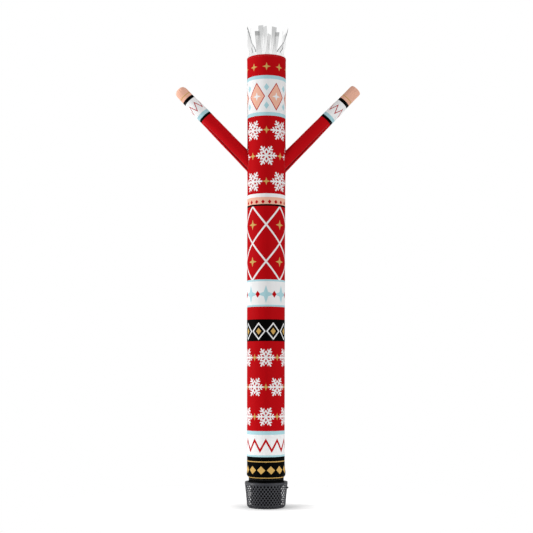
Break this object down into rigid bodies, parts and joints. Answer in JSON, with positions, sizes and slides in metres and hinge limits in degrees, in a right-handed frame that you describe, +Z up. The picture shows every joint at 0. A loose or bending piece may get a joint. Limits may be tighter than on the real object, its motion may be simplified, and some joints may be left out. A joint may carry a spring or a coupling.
{
  "type": "inflatable air dancer with its blower",
  "caption": "Tall inflated cloth tube with raised tapered arms and a crown of loose strips, standing on a round perforated blower.",
  "frame": {"origin": "centre of the blower's flat base, on the floor", "axes": "+Z up along the tube, +X towards the right arm as seen from the front, -Y towards the viewer"},
  "size_m": [2.2128, 0.498, 5.7321],
  "materials": {
    "printed_nylon": "satin",
    "sleeve_nylon": "satin",
    "streamer_film": "satin",
    "guard_plastic": "satin",
    "duct_metal": "satin",
    "knob_rubber": "satin"
  },
  "bodies": {
    "root": {"body_tube": "printed_nylon", "arm_left": "sleeve_nylon", "arm_right": "sleeve_nylon", "crown_fringe": "streamer_film", "blower_guard": "guard_plastic", "blower_duct": "duct_metal", "rim_knob": "knob_rubber", "side_knob": "knob_rubber"}
  },
  "joints": []
}
